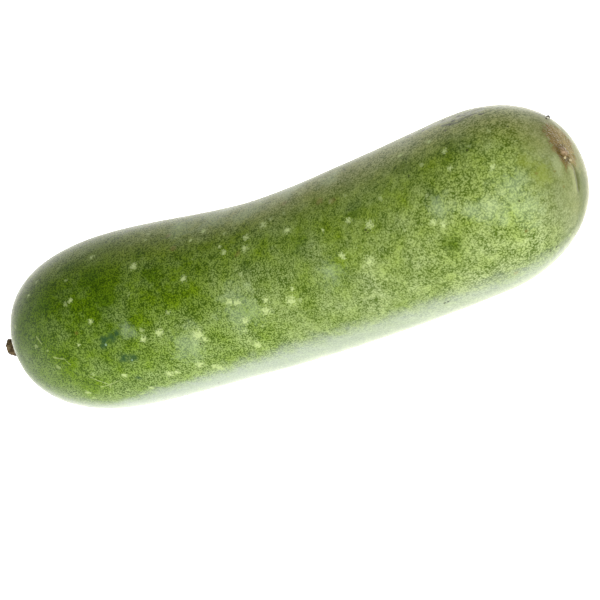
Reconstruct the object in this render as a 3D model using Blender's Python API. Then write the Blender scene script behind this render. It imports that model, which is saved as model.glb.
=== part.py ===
"""A whole winter melon lying on its belly, with the dry stub of its stalk.

The fruit is one closed body: a long barrel with a soft waist and two domed ends. Its blossom
end has a shallow dish with a small corky nub. Its stem end has a puckered socket, where the
stub stands. The belly has the small flat spot that the fruit rests on.

Metres, +Z up. The fruit lies along X, with its stem end at -X and its blossom end at +X.
The origin is below the middle of the whole melon, on the surface that it lies on.
"""

import math

import bmesh
import bpy
import numpy as np
from mathutils import Matrix, Vector

# The fruit's length, and places along it measured from the tip of its stem end
FRUIT_LENGTH = 0.330
STEM_DOME = 0.0748
WAIST_AT = 0.1586
LOWEST_AT = 0.1847
SHOULDER_AT = 0.2150
BLOSSOM_DOME = 0.0598

# Radii of the barrel, and how blunt its ends are (2 is an ellipsoid, more is blunter)
STEM_RADIUS = 0.0472
WAIST_RADIUS = 0.0447
SHOULDER_RADIUS = 0.0457
BLOSSOM_RADIUS = 0.0470
STEM_BLUNTNESS = 2.53
BLOSSOM_BLUNTNESS = 2.13

# How far the ends rise off the ground line, and how their tips drop and turn
STEM_LIFT = 0.0111
BLOSSOM_LIFT = 0.0103
STEM_TIP_DROP = 0.0033
BLOSSOM_TIP_DROP = 0.0019
BLOSSOM_TIP_TURN = 0.0036
BELLY_FLAT_DEPTH = 0.0012

# Gentle lumps of the skin: height, waves along the fruit, waves round it, phase in degrees
LUMPS = (
    (0.00035, 2.5, 1, 40),
    (0.00025, 4.0, 2, 200),
    (0.00020, 5.5, 3, 310),
)

# The blossom scar: where its nub sits on the end, which way it faces, and its dish
NUB_SIDE = -0.0927
NUB_UP = 0.1372
SCAR_FACES_SIDE = -11
SCAR_FACES_UP = 16
SCAR_LEAN = 32
DISH_DEPTH = 0.0015
DISH_HALF_LENGTH = 0.0120
DISH_HALF_WIDTH = 0.0080
DISH_ALONG = 0.0042
DISH_ACROSS = 0.0018
NUB_HEIGHT = 0.0015
NUB_RADIUS = 0.0026

# The crease that runs down from the scar, in its long and short ways from the nub
CREASE_TOP = (-0.0080, 0.0039)
CREASE_FOOT = (-0.0180, 0.0059)
CREASE_DEPTH = 0.0007
CREASE_HALF_WIDTH = 0.0014

# The socket at the stem end, and the five puckers round it
SOCKET_DEPTH = 0.0020
SOCKET_REACH = 0.0120
PUCKER_HEIGHT = 0.0005
PUCKER_REACH = 0.0140
RIBS = 5

# The stub of the stalk
STUB_LENGTH = 0.0104
STUB_FOOT_RADIUS = 0.0066
STUB_NECK_RADIUS = 0.0050
STUB_CUT_RADIUS = 0.0039
STUB_RIB = 0.0005
STUB_RISE = 0.0036
STUB_CUT_SLANT = 0.22
STUB_PITH_DEPTH = 0.0012
STUB_PITH_RIM = 0.4
STUB_GAP = 0.00035
FOOT_SHARE = 0.2
CUT_SHARE = 0.75
CUT_RIB_LOSS = 0.5

# Faces
FRUIT_SEGMENTS = 60
FRUIT_RINGS = 60
STUB_SEGMENTS = 30
STUB_RINGS = 18
POLE_CROWDING = 0.4
POLE_CROWDING_ANGLE = 0.55
NUB_WARP_FROM = 0.3

# Finishes: base colour, roughness
SKIN_GREEN = ((0.165, 0.235, 0.055, 1.0), 0.5)
STALK_BROWN = ((0.10, 0.06, 0.03, 1.0), 0.85)

BLOSSOM_DOME_START = FRUIT_LENGTH - BLOSSOM_DOME


def smooth_step(t):
    """0 below 0, 1 above 1, with a smooth rise between."""
    t = np.clip(t, 0.0, 1.0)
    return t * t * (3.0 - 2.0 * t)


def through_stations(at, stations, values):
    """Smooth curve through the values at the stations, level at both ends, with no overshoot."""
    steps = np.diff(stations)
    rises = np.diff(values) / steps
    slopes = np.zeros(len(stations))
    for i in range(1, len(stations) - 1):
        before, after = rises[i - 1], rises[i]
        if before * after > 0:
            slopes[i] = 2.0 * before * after / (before + after)
    at = np.clip(at, stations[0], stations[-1])
    i = np.clip(np.searchsorted(stations, at) - 1, 0, len(steps) - 1)
    step, t = steps[i], (at - np.take(stations, i)) / steps[i]
    low, high = np.take(values, i), np.take(values, i + 1)
    return (
        low
        + (high - low) * smooth_step(t)
        + slopes[i] * step * t * (1.0 - t) ** 2
        - slopes[i + 1] * step * t**2 * (1.0 - t)
    )


def barrel_radius(along):
    return through_stations(
        along,
        (STEM_DOME, WAIST_AT, SHOULDER_AT, BLOSSOM_DOME_START),
        (STEM_RADIUS, WAIST_RADIUS, SHOULDER_RADIUS, BLOSSOM_RADIUS),
    )


def dome(reach, bluntness):
    """Share of the radius left at this share of a dome's length."""
    return np.clip(1.0 - np.clip(reach, 0.0, 1.0) ** bluntness, 0.0, 1.0) ** (1.0 / bluntness)


def crowded(angle):
    """Brings the rings near a pole closer together."""
    share = smooth_step(angle / POLE_CROWDING_ANGLE)
    return angle * (POLE_CROWDING + (1.0 - POLE_CROWDING) * share)


def skin_directions(directions):
    """Moves points of a unit sphere along it, so that one pole is the nub of the scar."""
    angle = np.arccos(np.clip(directions[:, 0], -1.0, 1.0))
    angle = np.where(angle < math.pi / 2, crowded(angle), math.pi - crowded(math.pi - angle))
    side = directions[:, 1:]
    side = side / np.maximum(np.linalg.norm(side, axis=1, keepdims=True), 1e-9)
    turned = np.column_stack([np.cos(angle), np.sin(angle)[:, None] * side])
    share = smooth_step((turned[:, 0] - NUB_WARP_FROM) / (1.0 - NUB_WARP_FROM))
    turned += share[:, None] * np.array([0.0, NUB_SIDE, NUB_UP])
    return turned / np.linalg.norm(turned, axis=1, keepdims=True)


def smooth_skin(directions):
    """Points of the fruit's plain skin, for directions on the unit sphere."""
    along = FRUIT_LENGTH * (1.0 + directions[:, 0]) / 2.0
    round_angle = np.arctan2(directions[:, 2], directions[:, 1])
    stem_reach = np.clip((STEM_DOME - along) / STEM_DOME, 0.0, 1.0)
    blossom_reach = np.clip((along - BLOSSOM_DOME_START) / BLOSSOM_DOME, 0.0, 1.0)
    ends = dome(stem_reach, STEM_BLUNTNESS) * dome(blossom_reach, BLOSSOM_BLUNTNESS)
    radius = barrel_radius(along)
    lumps = np.zeros(len(along))
    for height, waves, turns, phase in LUMPS:
        wave = math.pi * waves * along / FRUIT_LENGTH
        lumps += height * np.sin(wave + turns * round_angle + math.radians(phase))
    stem_side = np.clip((LOWEST_AT - along) / LOWEST_AT, 0.0, 1.0)
    blossom_side = np.clip((along - LOWEST_AT) / (FRUIT_LENGTH - LOWEST_AT), 0.0, 1.0)
    middle_up = radius + STEM_LIFT * stem_side**2 + BLOSSOM_LIFT * blossom_side**2
    middle_up -= STEM_TIP_DROP * stem_reach**2 + BLOSSOM_TIP_DROP * blossom_reach**2
    middle_side = -BLOSSOM_TIP_TURN * blossom_reach**2
    across = (radius + lumps) * ends
    return np.column_stack(
        [along, middle_side + across * np.cos(round_angle), middle_up + across * np.sin(round_angle)]
    )


def scar_frame():
    """The nub's place on the plain skin, the scar's outward direction and its long and short ways."""
    nub = Vector(smooth_skin(skin_directions(np.array([[1.0, 0.0, 0.0]])))[0])
    turn = Matrix.Rotation(math.radians(SCAR_FACES_SIDE), 3, "Z")
    turn @= Matrix.Rotation(math.radians(-SCAR_FACES_UP), 3, "Y")
    turn @= Matrix.Rotation(math.radians(-SCAR_LEAN), 3, "X")
    return nub, turn @ Vector((1, 0, 0)), turn @ Vector((0, 0, 1)), turn @ Vector((0, 1, 0))


def crease_depth(along, across):
    """Depth of the crease at places given in the scar's long and short ways."""
    top, foot = np.array(CREASE_TOP), np.array(CREASE_FOOT)
    run = foot - top
    offset = np.column_stack([along, across]) - top
    share = np.clip(offset @ run / (run @ run), 0.0, 1.0)
    away = np.linalg.norm(offset - share[:, None] * run, axis=1)
    return CREASE_DEPTH * np.exp(-((away / CREASE_HALF_WIDTH) ** 2))


def scar_relief(points):
    """How far the skin stands out at the blossom scar: a dish, the nub in it and the crease."""
    nub, _, long_way, short_way = scar_frame()
    offset = points - np.array(nub)
    along = offset @ np.array(long_way)
    across = offset @ np.array(short_way)
    dish = ((along - DISH_ALONG) / DISH_HALF_LENGTH) ** 2
    dish += ((across - DISH_ACROSS) / DISH_HALF_WIDTH) ** 2
    knob = (along**2 + across**2) / NUB_RADIUS**2
    relief = NUB_HEIGHT * np.exp(-(knob**1.5)) - DISH_DEPTH * np.exp(-dish)
    relief -= crease_depth(along, across)
    return np.where(points[:, 0] > BLOSSOM_DOME_START, relief, 0.0)


def stem_tip_height():
    return float(smooth_skin(np.array([[-1.0, 0.0, 0.0]]))[0, 2])


def socket_sink(from_middle):
    """How far the skin sinks in towards the fruit at this distance from the stalk's middle."""
    return SOCKET_DEPTH * np.exp(-((from_middle / SOCKET_REACH) ** 2))


def pucker(from_middle, round_angle):
    """Height of the ridges that run out from the stalk."""
    share = from_middle / PUCKER_REACH
    return PUCKER_HEIGHT * share**4 * np.exp(2.0 - 2.0 * share**2) * np.cos(RIBS * round_angle)


def fruit_points(directions):
    points = smooth_skin(skin_directions(directions))
    _, outward, _, _ = scar_frame()
    points += scar_relief(points)[:, None] * np.array(outward)
    up = points[:, 2] - stem_tip_height()
    from_middle = np.hypot(points[:, 1], up)
    sink = socket_sink(from_middle) - pucker(from_middle, np.arctan2(up, points[:, 1]))
    points[:, 0] += np.where(points[:, 0] < STEM_DOME / 2, sink, 0.0)
    points[:, 2] = np.maximum(points[:, 2] - BELLY_FLAT_DEPTH, 0.0)
    return points


def socket_floor(from_middle):
    """Place along the fruit of the socket's floor, at this distance from the stalk's middle."""
    share = dome(from_middle / STEM_RADIUS, STEM_BLUNTNESS)
    return STEM_DOME * (1.0 - share) + socket_sink(from_middle)


def stub_points(directions):
    """A ribbed stalk from a flared foot in the socket to a slanted cut with a sunken pith."""
    ring = np.arccos(np.clip(directions[:, 0], -1.0, 1.0)) / math.pi
    round_angle = np.arctan2(directions[:, 2], directions[:, 1])
    under_foot = np.clip(ring / FOOT_SHARE, 0.0, 1.0)
    rise = np.clip((ring - FOOT_SHARE) / (CUT_SHARE - FOOT_SHARE), 0.0, 1.0)
    over_cut = np.clip((ring - CUT_SHARE) / (1.0 - CUT_SHARE), 0.0, 1.0)
    rib = STUB_RIB * np.cos(RIBS * round_angle)
    side = STUB_NECK_RADIUS + (STUB_FOOT_RADIUS - STUB_NECK_RADIUS) * (1.0 - rise) ** 3
    side += (STUB_CUT_RADIUS - STUB_NECK_RADIUS) * rise**2 + rib * (1.0 - CUT_RIB_LOSS * rise)
    radius = side * under_foot * (1.0 - over_cut)
    up = radius * np.sin(round_angle)
    length = STUB_LENGTH * rise - STUB_CUT_SLANT * up * rise**2
    length -= STUB_PITH_DEPTH * smooth_step((over_cut - STUB_PITH_RIM) / (1.0 - STUB_PITH_RIM))
    foot_floor = socket_floor((STUB_FOOT_RADIUS + rib) * under_foot) - STUB_GAP
    middle_up = stem_tip_height() - BELLY_FLAT_DEPTH + STUB_RISE * rise**2
    return np.column_stack([foot_floor - length, radius * np.cos(round_angle), middle_up + up])


def round_mesh(name, segments, rings, shape):
    """A closed mesh from a UV sphere with its poles on X, moved by the shape function."""
    mesh = bpy.data.meshes.new(name)
    sphere = bmesh.new()
    bmesh.ops.create_uvsphere(sphere, u_segments=segments, v_segments=rings, radius=1.0)
    directions = np.array([(v.co.z, v.co.x, v.co.y) for v in sphere.verts])
    for vertex, point in zip(sphere.verts, shape(directions)):
        vertex.co = point
    bmesh.ops.triangulate(sphere, faces=sphere.faces[:])
    sphere.to_mesh(mesh)
    sphere.free()
    mesh.shade_smooth()
    return mesh


def finish(name, colour, roughness):
    material = bpy.data.materials.new(name)
    material.use_nodes = True
    shader = material.node_tree.nodes["Principled BSDF"]
    shader.inputs["Base Color"].default_value = colour
    shader.inputs["Roughness"].default_value = roughness
    shader.inputs["Metallic"].default_value = 0.0
    return material


def add_piece(name, mesh, material, collection):
    mesh.materials.append(material)
    piece = bpy.data.objects.new(name, mesh)
    collection.objects.link(piece)
    return piece


def clear_scene():
    for thing in list(bpy.data.objects):
        bpy.data.objects.remove(thing, do_unlink=True)


def set_on_origin(pieces):
    """Moves every piece so that the whole melon's box stands on the origin, at its middle."""
    corners = np.array([vertex.co for piece in pieces for vertex in piece.data.vertices])
    low, high = corners.min(axis=0), corners.max(axis=0)
    shift = Vector((-(low[0] + high[0]) / 2, -(low[1] + high[1]) / 2, -low[2]))
    for piece in pieces:
        piece.data.transform(Matrix.Translation(shift))


def main():
    clear_scene()
    melon = bpy.data.collections.new("winter_melon")
    bpy.context.scene.collection.children.link(melon)
    fruit = add_piece(
        "fruit",
        round_mesh("fruit", FRUIT_SEGMENTS, FRUIT_RINGS, fruit_points),
        finish("melon_skin", *SKIN_GREEN),
        melon,
    )
    stub = add_piece(
        "stem_stub",
        round_mesh("stem_stub", STUB_SEGMENTS, STUB_RINGS, stub_points),
        finish("dry_stalk", *STALK_BROWN),
        melon,
    )
    set_on_origin([fruit, stub])


main()
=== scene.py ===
"""The looks of a whole winter melon: its waxy mottled skin, the corky blossom scar and the dry stalk.

Everything is in metres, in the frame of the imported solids: the fruit lies along X, with its stem end
at -X and its blossom end at +X, and the side that the camera sees faces -Y.
"""

import math

import bmesh
import bpy
import numpy as np
from mathutils import Matrix, Vector, noise
from mathutils.bvhtree import BVHTree


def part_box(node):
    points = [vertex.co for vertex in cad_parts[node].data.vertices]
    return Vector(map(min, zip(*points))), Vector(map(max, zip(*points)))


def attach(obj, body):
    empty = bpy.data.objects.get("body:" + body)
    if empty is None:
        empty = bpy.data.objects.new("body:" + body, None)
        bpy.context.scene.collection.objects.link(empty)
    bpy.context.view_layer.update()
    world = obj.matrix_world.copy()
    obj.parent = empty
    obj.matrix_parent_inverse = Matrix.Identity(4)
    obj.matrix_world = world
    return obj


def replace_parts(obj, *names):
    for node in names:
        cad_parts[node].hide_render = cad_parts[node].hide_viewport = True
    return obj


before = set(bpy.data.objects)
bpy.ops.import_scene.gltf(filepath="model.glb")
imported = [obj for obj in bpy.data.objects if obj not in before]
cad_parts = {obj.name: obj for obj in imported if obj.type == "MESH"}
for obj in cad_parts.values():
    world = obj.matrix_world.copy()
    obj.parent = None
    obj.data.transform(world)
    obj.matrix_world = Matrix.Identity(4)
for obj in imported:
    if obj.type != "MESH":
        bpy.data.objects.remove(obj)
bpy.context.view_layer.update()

MM = 0.001

# The camera: where it stands, how it is turned and how the melon sits in its square picture
CAMERA_AZIMUTH = 24.37
CAMERA_ELEVATION = 20.0
CAMERA_ROLL = 26.98
CAMERA_DISTANCE = 1.5
PICTURE_PIXELS = 600
PIXEL_SIZE = 0.52007 * MM
AIM_PIXEL = (307.2, 269.9)
SENSOR_WIDTH = 36.0

# The studio: each softbox's place, width, height and watts, and the point that both face
SOFTBOXES = {
    "front_softbox": ((1.05, -1.8, 0.5), 1.2, 1.2, 37.0),
    "back_softbox": ((-0.8, 1.8, 0.8), 3.0, 1.5, 32.0),
}
SOFTBOX_AIM = (0.0, 0.0, 0.045)
WORLD_LIGHT = 0.25
FLOOR_HALF_SIZE = 6.0

# The fruit, from the frame
FRUIT_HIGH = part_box("fruit")[1]
FRUIT_LENGTH = 330 * MM
STEM_TIP_X = FRUIT_HIGH.x - FRUIT_LENGTH
AIM = Vector((FRUIT_HIGH.x - 160.3 * MM, -0.2 * MM, 44.8 * MM))
SKIN_ROUNDS = 2
STUB_ROUNDS = 2
BROAD_DENT = 0.22 * MM
FINE_DENT = 0.07 * MM
STEM_FOLDS = 17
STEM_FOLD_HEIGHT = 0.16 * MM

# The blossom scar: its nub, the way it faces in degrees, how its long way leans, how far below the
# nub its tints fade out, and how far from the fruit's end its relief does
NUB = Vector((FRUIT_HIGH.x - 2.1 * MM, -11.4 * MM, 65.7 * MM))
SCAR_FACES_SIDE = -11
SCAR_FACES_UP = 16
SCAR_LEAN = 32
SCAR_DEPTH_START = -14 * MM
SCAR_DEPTH_FULL = -9 * MM
SCAR_RELIEF_LENGTH = 40 * MM

# Ovals and places on the scar, along its long way and across it from the nub
SCAR_MIDDLE = (4.2 * MM, 1.3 * MM)
SCAR_HALF_LENGTH = 13.0 * MM
SCAR_HALF_WIDTH = 9.3 * MM
SCAR_HALO_MIDDLE = (4.0 * MM, 5.0 * MM)
SCAR_HALO_HALVES = (18.0 * MM, 11.0 * MM)
CORE_MIDDLE = (-1.0 * MM, -1.0 * MM)
CORE_HALVES = (6.5 * MM, 6.0 * MM)
NUB_MIDDLE = (0.2 * MM, -0.4 * MM)
NUB_HALVES = (2.6 * MM, 2.7 * MM)
CREASE_TOP = (-8.0 * MM, 3.9 * MM)
CREASE_FOOT = (-18.0 * MM, 5.9 * MM)
CREASE_HALF_WIDTH = 2.6 * MM
LIP_SHIFT = 2.6 * MM
LIP_HALF_WIDTH = 3.2 * MM

# Small patches of the scar and the skin below it: middle, half sizes, strength and tint
SCAR_SPOTS = (
    ((0.8 * MM, -4.4 * MM), (5.5 * MM, 2.2 * MM), 0.6, (92, 78, 40)),
    ((-6.0 * MM, -8.0 * MM), (8.0 * MM, 3.6 * MM), 0.35, (168, 178, 132)),
    ((-4.2 * MM, 0.4 * MM), (2.0 * MM, 3.4 * MM), 0.75, (76, 66, 36)),
    ((-3.4 * MM, -1.4 * MM), (0.8 * MM, 1.2 * MM), 0.7, (206, 194, 150)),
    ((-4.4 * MM, 2.8 * MM), (0.8 * MM, 1.4 * MM), 0.7, (206, 194, 150)),
    ((-1.6 * MM, 7.5 * MM), (1.8 * MM, 2.4 * MM), 0.6, (104, 94, 52)),
    ((-7.6 * MM, 4.0 * MM), (2.4 * MM, 1.4 * MM), 0.7, (136, 122, 50)),
    # painted shade: the two darker grey-green ovals on the crease's right side, reaching out towards the rim
    ((-13.0 * MM, 6.6 * MM), (5.5 * MM, 1.8 * MM), 0.5, (96, 104, 60)),
    ((-18.0 * MM, 12.0 * MM), (12.0 * MM, 8.5 * MM), 0.6, (88, 102, 58)),
)

# How far the scar's parts stand out of the skin or sink into it, and how wide they are
PLATE_HEIGHT = 0.36 * MM
PLATE_SINK = 0.2 * MM
SCAR_RIM_HEIGHT = 0.25 * MM
SCAR_RIM_SHARE = 0.14
FURROW_RADIUS = 3.6 * MM
FURROW_WIDTH = 1.1 * MM
FURROW_DEPTH = 0.25 * MM
LOBES_RADIUS = 2.4 * MM
LOBE_HEIGHT = 0.3 * MM
CREASE_DEPTH = 0.65 * MM
CREASE_WIDTH = 0.9 * MM
CREASE_WANDER = 1.1 * MM
CREASE_LIP_HEIGHT = 0.3 * MM
CREASE_LIP_WIDTH = 2.2 * MM

# The curl of dry skin at the scar's upper edge
FLAKE_SPOT = Vector((FRUIT_HIGH.x - 9.2 * MM, 6.4 * MM, 78.4 * MM))
FLAKE_ROLL_WAY = Vector((0.39, -0.86, 0.34))
FLAKE_TURN = math.radians(285)
FLAKE_RADIUS = 1.2 * MM
FLAKE_TIGHTENS = 0.35
FLAKE_WIDTH = 1.8 * MM
FLAKE_NARROWS = 0.3
FLAKE_THICKNESS = 0.5 * MM

# The stalk's stub, from the frame, and its fibres, its crumbly cut and its foot in the skin
STUB_LOW, STUB_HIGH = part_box("stem_stub")
STUB_MIDDLE = (STUB_LOW + STUB_HIGH) / 2
STUB_FIBRES = 23
FIBRE_HEIGHT = 0.14 * MM
LONG_GRAIN_HEIGHT = 0.25 * MM
CRUMB_HEIGHT = 0.35 * MM
FOOT_LENGTH = 3.2 * MM
FOOT_SINK = 1.1 * MM

# The rind's greens, from its stem end to its blossom end, and what its grains make of them
STEM_TOP_GREEN = (70, 95, 4)
STEM_BELLY_GREEN = (94, 122, 15)
BLOSSOM_TOP_GREEN = (105, 125, 25)
BLOSSOM_BELLY_GREEN = (104, 124, 31)
BLOSSOM_TIP_OLIVE = (88, 94, 40)
DARK_GRAIN = (0.36, 0.47, 0.06)
PALE_GRAIN = (1.68, 1.63, 2.0)
WAX_BLOOM = (196, 204, 172)
# partly wax bloom, partly painted glow of the floor: the white film near the ground
BLOOM_AND_FLOOR_GLOW = (188, 194, 190)
# partly painted highlight, partly wax bloom: the whitish haze of the patches below
HIGHLIGHT_AND_BLOOM_HAZE = (178, 197, 160)
# painted sheen: a pale grey-green on the side away from the camera, which lightens the fruit's upper rim
FAR_SIDE_PAINTED_SHEEN = (142, 140, 84)
DEEP_GREEN = (44, 72, 8)

# Tints of the marks on the skin
STAR_CREAM = (190, 206, 140)
ROUGH_GREY = (168, 168, 150)
ROUGH_LINE_DARK = (66, 68, 50)
PATCH_OLIVE = (122, 136, 44)
PATCH_RUDDY = (128, 92, 62)
SMUDGE_GREEN = (38, 70, 40)
GLINT_GREEN = (150, 180, 150)
SPOT_BROWN = (104, 90, 36)
SPECK_DARK = (42, 44, 24)
SCRATCH_PALE = (172, 186, 120)

# Tints of the scar and the crease below it
HALO_TAN = (150, 148, 108)
BARK_BROWN = (130, 110, 64)
BARK_TAN = (164, 148, 102)
STREAK_BROWN = (88, 76, 36)
CRACK_BROWN = (78, 68, 34)
CORE_BROWN = (88, 70, 36)
RIM_OLIVE = (86, 88, 36)
# painted shade: the dark brown in the furrow round the nub
FURROW_PAINTED_SHADE = (76, 60, 32)
NUB_TAN = (178, 154, 126)
# painted highlight: the pale lip on one side of the crease
LIP_PAINTED_HIGHLIGHT = (162, 168, 120)
# painted shade: the dark olive in the crease
CREASE_PAINTED_SHADE = (80, 82, 48)

# Dry fibre: its dark tone, its light tone and its blotches
STALK_TONES = ((62, 50, 30), (130, 110, 76), (158, 140, 106))
FLAKE_TONES = ((60, 56, 48), (98, 92, 78), (122, 114, 98))
FIBRE_CRACK_BROWN = (48, 34, 20)

# Marks on the skin, their places read from the photograph. A spot has its distance from the
# stem tip in millimetres, its degrees up from the front, and its radius in millimetres. A line has
# the distance and the degrees of both its ends, and its half width in millimetres.
STAR_FLECKS = (
    (133, 74, 2.2),
    (126, 68, 1.4),
    (143, 56, 1.4),
    (145, 51, 2.0),
    (157, 49, 2.5),
    (158, 57, 2.5),
    (168, 62, 2.9),
    (182, 51, 2.5),
    (94, 57, 2.9),
    (69, 73, 1.9),
    (121, 40, 2.4),
    (177, 13, 1.5),
    (174, 6, 3.6),
    (142, 18, 2.2),
    (146, 16, 2.5),
    (159, 5, 3.6),
    (161, 12, 2.2),
    (146, 3, 2.9),
    (119, 3, 4.2),
    (121, -1, 2.2),
    (100, 10, 2.9),
    (90, 8, 2.5),
    (65, 27, 1.9),
    (28, 61, 1.4),
    (56, 44, 1.9),
    (54, 14, 1.1),
    (93, -21, 3.0),
    (97, -21, 2.2),
    (111, -20, 3.0),
    (117, -25, 2.6),
    (119, -28, 2.6),
    (70, -14, 2.0),
    (43, -24, 2.0),
    (78, -30, 1.9),
    (145, -17, 2.9),
    (228, 34, 3.1),
    (217, 42, 2.2),
    (202, 42, 1.4),
    (261, 20, 2.5),
    (266, 16, 2.2),
    (222, 13, 3.6),
    (209, 22, 2.6),
    (249, 74, 2.0),
    (266, 74, 2.0),
    (275, 60, 2.2),
    (298, 38, 1.9),
    (277, 47, 2.0),
)
PALE_CLUMPS = (
    (242, 18, 2.6),
    (239, 13, 3.2),
    (226, 3, 3.4),
    (255, 1, 2.8),
    (261, -6, 3.0),
    (278, -10, 3.2),
    (282, -17, 3.2),
    (259, -17, 2.4),
    (243, -18, 3.4),
    (273, -28, 3.0),
    (237, -20, 2.8),
    (261, 46, 3.0),
    (301, 4, 6.0),
    (297, -17, 5.0),
)
DARK_PATCHES = (
    (55, 70, 7.0),
    (69, 56, 9.0),
    (39, 46, 7.0),
    (96, 66, 6.5),
    (76, 38, 12.0),
    (103, 48, 10.0),
    (156, 37, 6.0),
    (188, 37, 12.0),
    (220, 48, 7.0),
    (251, 63, 9.0),
    (265, 36, 8.0),
    (266, 4, 9.0),
    (282, 60, 12.0),
    (289, 58, 6.0),
    (284, 63, 6.0),
    (320, -60, 14.0),
    (313, -50, 10.0),
)
# Whitish patches: partly painted highlight, partly wax bloom
HIGHLIGHT_AND_BLOOM_PATCHES = (
    (304, 19, 15.0),
    (294, 12, 13.0),
    (306, 2, 13.0),
    (284, 16, 9.0),
    (267, 26, 9.0),
    (146, 12, 16.0),
    (112, -3, 14.0),
    (83, 16, 8.0),
    (206, 84, 10.0),
    (118, 84, 15.0),
    (138, 92, 18.0),
    (158, 84, 15.0),
    (180, 92, 14.0),
    (200, 14, 10.0),
)
ROUGH_PATCHES = (
    (269, 95, 5.0),
    (274, 93, 6.0),
    (280, 92, 6.0),
    (286, 92, 5.5),
    (291, 93, 4.5),
    (262, 96, 4.0),
)
ROUGH_LINES = (
    (272, 87, 281, 83, 1.5),
    (281, 83, 285, 87, 1.4),
    (285, 87, 290, 90, 1.3),
    (279, 93, 284, 91, 1.2),
    (284, 96, 292, 99, 2.2),
    (274, 97, 278, 99, 1.5),
    (316, 104, 319, 107, 1.6),
)
RUDDY_PATCHES = (
    (112, 78, 2.6),
    (116, 64, 2.6),
    (96, 98, 2.0),
    (153, 47, 2.4),
    (202, 64, 2.8),
    (209, 60, 2.8),
    (180, 75, 3.2),
    (286, -39, 2.0),
)
OLIVE_PATCHES = (
    (318, 24, 9.0),
    (312, 36, 6.0),
)
SMUDGES = (
    (69, 13, 4.0),
    (73, 14, 4.6),
    (77, 15, 3.6),
    (67, 9, 3.6),
    (75, -1, 4.2),
    (80, -2, 4.2),
    (76, -18, 2.8),
)
SMUDGE_GLINTS = (
    (69, 10, 0.8),
    (79, -4, 0.7),
)
DARK_SPECKS = (
    (250, 97, 2.6),
    (260, 94, 1.5),
    (271, 97, 2.2),
    (275, 79, 1.4),
    (278, 88, 2.0),
    (277, 84, 1.4),
    (280, 94, 1.6),
    (293, 87, 1.9),
    (214, 88, 0.8),
    (254, 54, 0.8),
    (225, 32, 0.9),
    (226, 30, 0.8),
    (218, 49, 0.8),
    (287, 55, 0.9),
    (307, 69, 0.9),
    (305, 10, 0.7),
    (109, -48, 0.9),
    (104, -64, 0.8),
    (245, -38, 1.0),
    (247, -38, 0.9),
    (308, -46, 1.1),
    (305, -43, 1.1),
    (104, 56, 0.7),
    (118, -4, 0.7),
)
BROWN_SPOTS = (
    (302, -12, 1.5),
    (316, 24, 1.1),
    (55, 22, 1.6),
    (324, 1, 1.0),
    (323, 21, 1.0),
)
SCRATCHES = (
    (30, 27, 32, 21, 0.5),
    (36, 10, 39, 8, 0.6),
    (39, 8, 42, 7, 0.5),
    (42, 7, 44, 2, 0.5),
    (51, -10, 56, -16, 0.4),
    (56, -16, 59, -19, 0.5),
    (59, -19, 53, -20, 0.5),
    (59, -19, 66, -17, 0.4),
    (59, -19, 53, -32, 0.5),
)


def smooth_step(low, high, value):
    """0 below low, 1 above high, with a smooth rise between."""
    share = np.clip((value - low) / (high - low), 0.0, 1.0)
    return share * share * (3.0 - 2.0 * share)


def mound(away, width):
    """1 where away is 0, with a smooth fall to nothing over about this width."""
    return np.exp(-((away / width) ** 2))


def noise_at(points, size, seed=0.0):
    """Smooth noise between about -1 and 1, with features of this size."""
    shift = Vector((seed, 2.0 * seed, -seed))
    return np.array([noise.noise(Vector(point) / size + shift) for point in points])


def ridges_at(points, size, seed=0.0):
    """Noise with sharp crests, between 0 and 1."""
    return 1.0 - np.abs(noise_at(points, size, seed))


# Shapes


def merged_copy(node, name):
    """A CAD node's shape as one joined surface of four-sided faces, ready to be made finer."""
    shape = bmesh.new()
    shape.from_mesh(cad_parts[node].data)
    bmesh.ops.remove_doubles(shape, verts=shape.verts[:], dist=0.01 * MM)
    bmesh.ops.join_triangles(
        shape,
        faces=shape.faces[:],
        angle_face_threshold=math.radians(60),
        angle_shape_threshold=math.radians(90),
    )
    mesh = bpy.data.meshes.new(name)
    shape.to_mesh(mesh)
    shape.free()
    return mesh


def made_finer(mesh, rounds):
    """The mesh after this many rounds of smooth subdivision."""
    rough = bpy.data.objects.new("rough", mesh)
    bpy.context.scene.collection.objects.link(rough)
    finer = rough.modifiers.new("finer", "SUBSURF")
    finer.levels = rounds
    finer.render_levels = rounds
    graph = bpy.context.evaluated_depsgraph_get()
    fine = bpy.data.meshes.new_from_object(rough.evaluated_get(graph))
    bpy.data.objects.remove(rough)
    return fine


def points_and_normals(mesh):
    """The places of a mesh's points and the ways they face, one to a row."""
    count = len(mesh.vertices)
    points, normals = np.empty(count * 3), np.empty(count * 3)
    mesh.vertices.foreach_get("co", points)
    mesh.vertex_normals.foreach_get("vector", normals)
    return points.reshape(-1, 3), normals.reshape(-1, 3)


def move_points(mesh, points):
    """Puts a mesh's points at these places."""
    mesh.vertices.foreach_set("co", points.ravel())
    mesh.update()


def add_piece(name, mesh, material):
    """Puts a finished mesh in the scene as a piece of the melon."""
    mesh.name = name
    mesh.materials.clear()
    mesh.materials.append(material)
    mesh.shade_smooth()
    piece = bpy.data.objects.new(name, mesh)
    bpy.context.scene.collection.objects.link(piece)
    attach(piece, "root")
    return piece


def scar_turn():
    """The scar's own axes: outward, across and along it."""
    turn = Matrix.Rotation(math.radians(SCAR_FACES_SIDE), 3, "Z")
    turn @= Matrix.Rotation(math.radians(-SCAR_FACES_UP), 3, "Y")
    return turn @ Matrix.Rotation(math.radians(-SCAR_LEAN), 3, "X")


def along_and_across(points):
    """How far the points are from the nub, along the scar and across it."""
    local = (points - np.array(NUB)) @ np.array(scar_turn())
    return local[:, 2], local[:, 1]


def only_blossom_end(points, relief):
    """The relief near the scar and none elsewhere, because the scar's ways reach through the fruit."""
    return np.where(points[:, 0] > FRUIT_HIGH.x - SCAR_RELIEF_LENGTH, relief, 0.0)


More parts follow.
